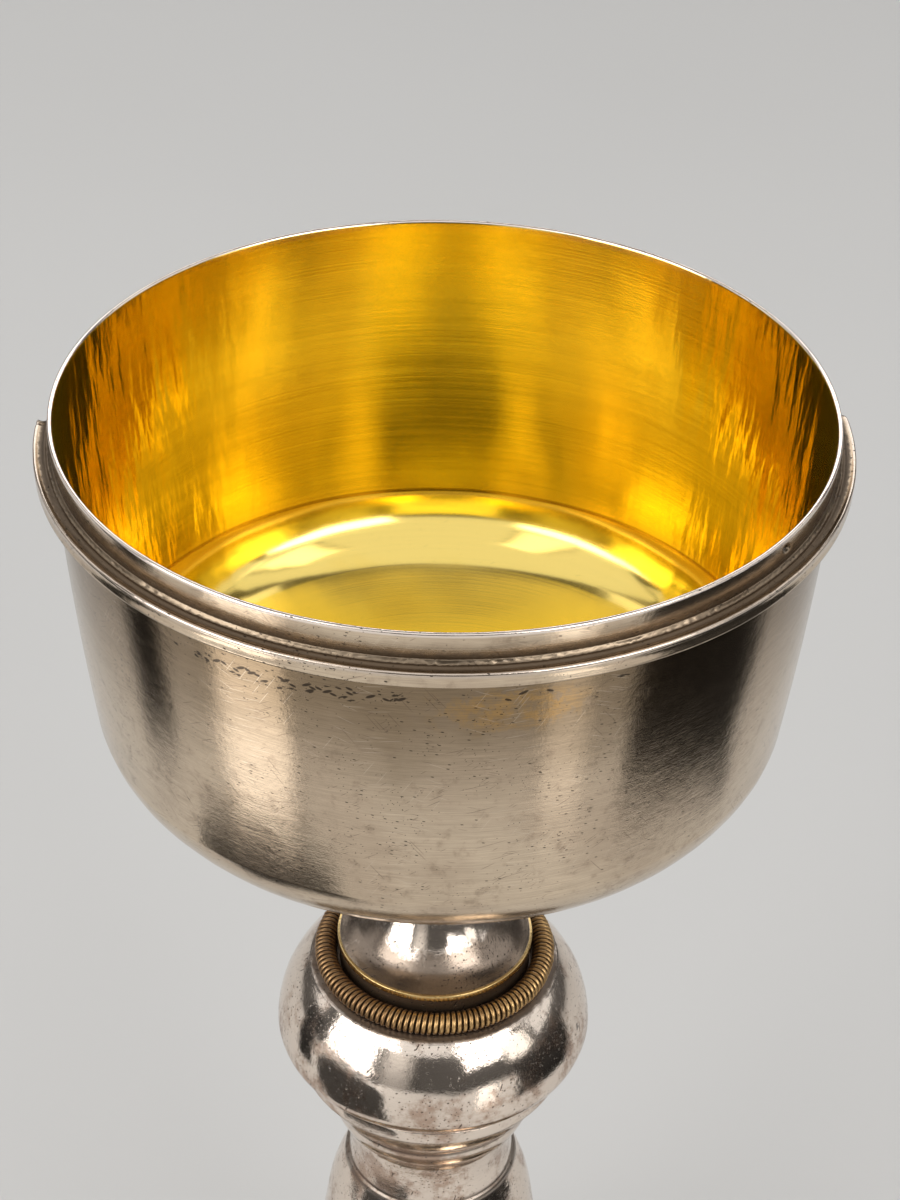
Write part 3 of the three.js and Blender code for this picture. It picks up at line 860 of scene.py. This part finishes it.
def polished_silver(name, tarnish, grime_and_shade, brown=PINK_TARNISH, shade_colour=DARK_SHADE, specked=1.0, yellowed=None):
    """Polished silver. Tarnish, painted shade and yellowed are functions of the finish."""
    made = Finish(name)
    mottled = made.noise(made.place, 0.13, 5, 0.62)
    spotty = made.noise(made.place, 0.75, 4, 0.65)
    brushed = made.noise(made.skin, (0.08, 3.0), 3, 0.6)
    share = made.fade(mottled + (spotty - 0.5) * 0.4 + tarnish(made), 0.46, 0.7)
    specks = made.marks((made.fade(mottled, 0.38, 0.6) * 0.3 + 0.05) * specked, 0.46, 0.28, 20, 3.6)
    small = made.marks((made.fade(mottled, 0.35, 0.6) * 0.25 + 0.08) * specked, 0.22, 0.18, 70, 3.4)
    cracks = made.marks(made.fade(mottled, 0.4, 0.6) * 0.12 * specked, 1.6, 0.3, 62, 3)
    holes = made.deepest(specks, small, cracks)
    lines = made.marks(0.14, 2.2, 0.1, 12) + made.marks(0.14, 1.6, 0.1, -35) + made.marks(0.12, 1.8, 0.1, 70)
    # The dark share on the polished pieces is painted shade: under the disc, round the coil's foot and in the
    # baluster's hollows.
    dirt_and_shade = grime_and_shade(made)

    colour = made.painted(
        POLISHED_SILVER, (share * 0.82, brown), (made.fade(spotty, 0.62, 0.75) * 0.35, TARNISH_SPOTS))
    colour = made.painted(
        colour * (0.92 + brushed * 0.14), (lines.clipped() * 0.3, THIN_SCRATCH), (dirt_and_shade * 0.9, shade_colour),
        (holes * 0.85, HOLE_BLACK))
    if yellowed:
        colour = made.painted(colour, (yellowed(made) * 0.75, RUBBED_YELLOW))
    made.feed(Base_Color=colour, Roughness=0.07 + share * 0.13 + spotty * 0.07 + dirt_and_shade * 0.3)
    made.bump(mottled * 0.08 + spotty * 0.03 - holes * 0.07)
    print(name, "has", len(made.tree.nodes), "nodes")
    return made


# %% Grime on the stem
DISC_BASE_Z = DISC_TOP_Z - DISC_EDGE


def neck_spigot_shade(made):
    """Painted shade on the spigot under the disc."""
    return made.fade(made.z, DISC_BASE_Z + 0.1, DISC_BASE_Z - 0.05) * 0.7


def disc_edge(made):
    return made.fade(made.z, DISC_BASE_Z - 0.05, DISC_BASE_Z + 0.15) * made.fade(made.axis, 16.6, 16.95)


def knop_coil_shade(made):
    """Painted shade: a dark ring where the coil rests."""
    ragged = made.axis + (made.noise(made.place, 0.5, 3, 0.6) - 0.5) * 1.6
    return made.fade(ragged, 22.4, 21.5) * made.fade(made.z, KNOP_TOP_Z - 4, KNOP_TOP_Z - 3) * 0.95


def baluster_shade(made):
    """Painted shade in the step, between the two rolls and under the bead."""
    in_step = made.fade(made.z.apart(STEP_Z + 0.2), 1.2, 0.4)
    in_rolls = made.fade(made.z.apart(ROLL_JOIN_Z), 0.8, 0.25)
    under_bead = made.fade(made.z, CALYX_TOP_Z + 1.2, CALYX_TOP_Z - 0.1)
    under_bead = under_bead * made.fade(made.z, CALYX_TOP_Z - 1.4, CALYX_TOP_Z - 0.2)
    return (in_step * 0.7 + in_rolls * 0.8 + under_bead * 0.8).clipped()


neck_silver = polished_silver(
    "neck_silver", lambda made: made.fade(made.z, DISC_TOP_Z + 6.5, DISC_TOP_Z + 2.5, -0.05, 0.34), neck_spigot_shade,
    DARK_TARNISH, SPIGOT_SHADE, specked=2.2, yellowed=disc_edge)
knop_silver = polished_silver(
    "knop_silver", lambda made: made.fade(made.z, KNOP_TOP_Z - 0.5, KNOP_BASE_Z + 0.5, -0.05, 0.1), knop_coil_shade)
baluster_silver = polished_silver("baluster_silver", lambda made: 0.03, baluster_shade)

# %% [markdown]
# ## Gilding
#
# The inside is fire-gilt: gold dissolved in mercury was brushed on and the mercury driven off with heat,
# and the gold was burnished. It is a deep yellow that gets redder each time light bounces in the cup.
# Burnishing leaves fine lines round the wall and the dish. The dish at the bottom is the brightest.

# %% Gilding
GOLD = (0.98, 0.79, 0.105)
# Deep gold, also painted shade at the left and right sides of the wall.
DEEP_GOLD_AND_SHADE = (0.6, 0.43, 0.05)
DISH_GOLD = (0.98, 0.74, 0.21)
# Deep dish gold, also painted shade at the sides of the dish.
DISH_DEEP_GOLD_AND_SHADE = (0.95, 0.65, 0.11)
CREASE_BROWN = (0.35, 0.17, 0.02)
WORN_GOLD = (0.9, 0.72, 0.4)
GOLD_SPECKS = (0.3, 0.16, 0.03)


def gilding(name, gold, deep_and_shade, rough, lined, flamed):
    """Burnished gold. Lined is how strong the burnishing lines are, and flamed how wavy the sides are."""
    made = Finish(name)
    depth = RIM_Z - made.z
    clouds = made.noise(made.place, 0.06, 4, 0.6)
    lines = made.noise(made.skin, (0.015, 2.6), 4, 0.65)
    broad = made.noise(made.skin, (0.01, 0.35), 2, 0.5)
    sides = (made.x / made.axis).apart()
    specks = made.marks(0.05, 0.16, 0.13) + made.marks(0.02, 1.2, 0.07, 30)
    # Deeper gold at the left and right sides is painted shade; the clouds add deeper gold at random.
    colour = made.painted(
        gold, (made.fade(sides + (clouds - 0.5) * 0.3, 0.62, 0.98) * 0.78, deep_and_shade),
        (made.fade(clouds, 0.5, 0.75) * 0.3, deep_and_shade))
    colour = made.painted(
        colour * (0.95 - lined * 0.7 + lines * lined + broad * lined * 0.5),
        (made.fade(depth.apart(CREASE_DEPTH), 0.5, 0.15) * 0.6, CREASE_BROWN),
        (made.fade(depth, 1.6, 0.7) * 0.6, WORN_GOLD), (specks.clipped() * 0.6, GOLD_SPECKS))
    made.feed(Base_Color=colour, Roughness=rough + lines * 0.08 + clouds * 0.05)
    flames = made.noise(made.skin, (0.19, 0.045), 3, 0.5) * made.fade(sides, 0.5, 0.95, 0.02, 1.0)
    uneven = made.noise(made.place, 0.06, 1)
    made.bump(lines * (lined * 0.05) + uneven * 0.08 + flames * flamed)
    print(name, "has", len(made.tree.nodes), "nodes")
    return made


gilt = gilding("gilding", GOLD, DEEP_GOLD_AND_SHADE, rough=0.085, lined=0.28, flamed=0.36)
gilt.feed(Anisotropic=0.88, Anisotropic_Rotation=0.25)
gilt_dish = gilding("gilding_dish", DISH_GOLD, DISH_DEEP_GOLD_AND_SHADE, rough=0.06, lined=0.06, flamed=0)

# %% [markdown]
# The coil's wire is gilt brass. Its turns are brown on the left, and carry a painted glint along their
# lower outer edge, painted shade on the ring's inner side and nearly black painted shade in the gaps
# between one turn and the next.

# %% Coil finish
BRIGHT_WIRE = (0.62, 0.4, 0.175)
DULL_WIRE = (0.4, 0.24, 0.105)
BROWN_WIRE = (0.25, 0.14, 0.075)
# Painted shade on the wire's inner side.
INNER_WIRE_SHADE = (0.13, 0.085, 0.05)
# Painted glint along the wire's lower outer edge.
WIRE_GLINT = (0.95, 0.82, 0.66)
# Painted shade in the gaps between turns.
GAP_SHADE = (0.035, 0.02, 0.012)
LOWER_EDGE = -0.75

ring_x, ring_z = gilt_wire.axis - COIL_R, gilt_wire.z - (KNOP_TOP_Z + COIL_HALF_HEIGHT)
round_core = ring_z.sum("ARCTAN2", ring_z, ring_x)
winding = (gilt_wire.turn * COIL_TURNS - round_core) / (2 * math.pi)
# Painted shade in the gaps between turns.
shade_in_gap = gilt_wire.fade(winding.sum("FRACT", winding).apart(0.5), 0.32, 0.08)
worn_wire = gilt_wire.noise(gilt_wire.place, 0.35, 4, 0.65)
brown_side = gilt_wire.fade(gilt_wire.x + (worn_wire - 0.5) * 14, 2, -14)
# Painted shade on the inner side of the ring.
inner_side_shade = gilt_wire.fade(ring_x + ring_z * -0.5, -0.3, -1.7)
# Painted glint along the lower outer edge of each turn.
lower_edge_glint = gilt_wire.fade(round_core.apart(LOWER_EDGE), 0.34, 0.2)

wire_colour = gilt_wire.painted(
    BRIGHT_WIRE, (gilt_wire.fade(worn_wire, 0.35, 0.7), DULL_WIRE), (brown_side * 0.65, BROWN_WIRE),
    (inner_side_shade * 0.6, INNER_WIRE_SHADE), (lower_edge_glint * 0.8, WIRE_GLINT), (shade_in_gap * 0.92, GAP_SHADE))
gilt_wire.feed(Base_Color=wire_colour, Roughness=0.3 + shade_in_gap * 0.3 + worn_wire * 0.1)
gilt_wire.bump(worn_wire * 0.05)
print("gilt_wire has", len(gilt_wire.tree.nodes), "nodes")

# %% Put the finishes on
SILVER_INDEX, WALL_INDEX, DISH_INDEX = 0, 1, 2
for finish in (satin, gilt, gilt_dish):
    bowl.data.materials.append(finish.material)
faces = bowl.data.polygons
centres, normals = np.empty(len(faces) * 3), np.empty(len(faces) * 3)
faces.foreach_get("center", centres)
faces.foreach_get("normal", normals)
centres, normals = centres.reshape(-1, 3) / MM, normals.reshape(-1, 3)
inwards = (centres[:, 0] * normals[:, 0] + centres[:, 1] * normals[:, 1]) < 0
upwards = normals[:, 2] > 0.3
face_depth = RIM_Z - centres[:, 2]
inner_limit = wall_r(np.clip(face_depth, 0, CREASE_DEPTH)) - BOWL_WALL / 2
within = np.hypot(centres[:, 0], centres[:, 1]) < inner_limit
gilt_faces = (inwards | upwards) & within & (face_depth > 0.3)
face_finish = np.full(len(faces), SILVER_INDEX, dtype=np.int32)
face_finish[gilt_faces] = WALL_INDEX
face_finish[gilt_faces & (face_depth > CREASE_DEPTH + 0.02)] = DISH_INDEX
faces.foreach_set("material_index", face_finish)
print(int(gilt_faces.sum()), "of", len(faces), "faces of the bowl are gilt")
for piece, finish in (
        (seat_collar, collar_silver), (neck, neck_silver), (knop, knop_silver), (baluster, baluster_silver),
        (foot, foot_silver)):
    piece.data.materials.append(finish.material)

# %% Put the pieces on the body
finished(bowl, "bowl_silver_gilt", "bowl")
finished(seat_collar, "satin_silver", "seat_collar")
finished(neck, "polished_silver", "neck_flare")
finished(knop, "polished_silver", "knop")
finished(baluster, "polished_silver", "baluster")
finished(foot, "satin_silver", "foot")
finished(coil, "gilt_wire", "coil_ring")

# %% [markdown]
# ## Table and light
#
# Silver shows what stands round it, so the light is planned as reflections. The floor is pale and plain.
# A soft panel hangs over the cup and fills its inside, two more stand in front, left and right, and weaker
# ones light the back and the sides. A photographer of silver also sets up dark and bright cards, so that
# the metal has something dark to show beside the lights. The ones here are curved strips round the cup that
# only reflections see: low ones give the bands and the dark leaf on the bowl's outside, and four high ones
# give the bright bands in the gilding.

# %% Floor and world
FLOOR_REACH = 12
floor_mesh = bpy.data.meshes.new("floor")
floor_corners = [(x * FLOOR_REACH, y * FLOOR_REACH, 0) for x, y in ((-1, -1), (1, -1), (1, 1), (-1, 1))]
floor_mesh.from_pydata(floor_corners, [], [(0, 1, 2, 3)])
floor = placed("floor", floor_mesh)
floor_paint = Finish("floor_paint")
faint = floor_paint.noise(floor_paint.place, 0.004, 2)
floor_paint.feed(
    Base_Color=floor_paint.painted((0.67, 0.662, 0.648), (faint, (0.63, 0.622, 0.608))),
    Roughness=0.6, Metallic=0.0)
floor_mesh.materials.append(floor_paint.material)

world = bpy.data.worlds.new("studio")
world.use_nodes = True
bpy.context.scene.world = world
background = world.node_tree.nodes["Background"]
background.inputs["Color"].default_value = (0.1, 0.097, 0.094, 1)
background.inputs["Strength"].default_value = 1.0
print("floor", 2 * FLOOR_REACH, "m wide")


# %% Lights
LIGHT_AIM = Vector((0, 0, 0.2))


def direction(side, elevation):
    """A direction from the cup. Side 0 is the camera's side, and 90 is to the right."""
    a, e = math.radians(side - 90), math.radians(elevation)
    return Vector((math.cos(a) * math.cos(e), math.sin(a) * math.cos(e), math.sin(e)))


def panel(name, side, elevation, distance, width, height, glow):
    """A soft light that faces the cup. The glow is how bright its surface looks."""
    light = bpy.data.lights.new(name, "AREA")
    light.shape = "RECTANGLE"
    light.size = width
    light.size_y = height
    light.energy = glow * math.pi * width * height
    lamp = placed(name, light)
    towards = direction(side, elevation)
    lamp.location = LIGHT_AIM + towards * distance
    lamp.rotation_mode = "QUATERNION"
    lamp.rotation_quaternion = towards.to_track_quat("Z", "Y")
    lamp.visible_camera = False
    print(name, round(light.energy, 1), "W")


# name, side, elevation, distance, width, height, glow: degrees and metres
panel("overhead_panel", 0, 66, 1.8, 4.4, 2.5, 0.84)
panel("left_panel", -56, 18, 1.8, 1.6, 1.25, 3.8)
panel("right_panel", 44, 27, 1.8, 1.3, 0.7, 4.4)
panel("back_panel", 180, 29, 2.0, 2.4, 0.6, 1.9)
panel("side_left", -112, 26, 1.8, 1.2, 1.1, 0.8)
panel("side_right", 100, 26, 1.8, 1.3, 1.1, 0.8)


# %% Cards
CARD_STRENGTH = 0.4  # low, so that a card is not sampled as a lamp
CARD_STEPS = 16


def card(name, side_from, side_to, radius, low, high, glow_low, glow_high, round_top=0.0, soft=0.0):
    """A curved card round the cup that only reflections see. Its glow changes from foot to top. Its top corners
    can be rounded, and the glow can fade out over some degrees at both ends."""
    sides = np.linspace(side_from, side_to, CARD_STEPS + 1)
    arch = np.sin(np.linspace(0, math.pi, CARD_STEPS + 1)).clip(0) ** 0.4
    tops = high - (high - low) * round_top * (1 - arch)
    ends = [direction(side, 0) * radius for side in sides]
    places = [(x, y, low) for x, y, _ in ends] + [(x, y, top) for (x, y, _), top in zip(ends, tops)]
    above = CARD_STEPS + 1
    mesh = bpy.data.meshes.new(name)
    mesh.from_pydata(places, [], [(i, i + 1, i + 1 + above, i + above) for i in range(CARD_STEPS)])

    paper = Finish(name + "_paper")
    glow = paper.fade(paper.z * MM, low, high, glow_low, glow_high)
    if soft:
        middle, half = math.radians((side_from + side_to) / 2 - 90), math.radians(side_to - side_from) / 2
        glow = glow * paper.fade(paper.turn.apart(middle), half, half - math.radians(soft), 0.12, 1.0)
    shade = paper.node("ShaderNodeCombineXYZ", X=glow, Y=glow * 0.97, Z=glow * 0.93) * (1 / CARD_STRENGTH)
    paper.feed(
        Base_Color=(0, 0, 0, 1), Metallic=0.0, Roughness=1.0, Specular_IOR_Level=0.0,
        Emission_Color=shade, Emission_Strength=CARD_STRENGTH)
    mesh.materials.append(paper.material)
    piece = placed(name, mesh)
    piece.visible_camera = piece.visible_diffuse = piece.visible_shadow = piece.visible_transmission = False
    print(name, "from", side_from, "to", side_to, "degrees")


# name, side from, side to, radius, low, high, glow at the foot, glow at the top: degrees and metres
card("dark_right", 55, 102, 0.25, 0.0, 0.16, 0.02, 0.04)
card("dark_left", -100, -84, 0.272, 0.0, 0.2, 0.02, 0.04)
card("bright_left", -66, -40, 0.232, 0.0, 0.12, 1.6, 2.9, soft=4)
card("bright_right", 28, 43, 0.25, 0.0, 0.12, 1.2, 1.8, soft=2)
card("dark_leaf", -75, -27, 0.125, 0.0, 0.134, 0.06, 0.06, 0.17)
card("grey_front", -42, -8, 0.9, 0.08, 0.7, 0.4, 0.9, soft=14)
card("window_right", 54, 76, 1.0, 0.3, 0.62, 1.6, 1.6, soft=4)
card("strip_back_left", 219, 251, 0.9, 0.9, 1.95, 1.3, 1.3, soft=8)
card("strip_back_right", 116, 148, 0.9, 0.9, 1.95, 1.3, 1.3, soft=8)
card("strip_left", -55, -29, 0.9, 0.95, 1.95, 2.0, 2.0, soft=6)
card("strip_right", 50, 88, 0.9, 1.05, 1.95, 2.2, 2.2, soft=9)

# %% Colour view
bpy.context.scene.view_settings.view_transform = "Standard"
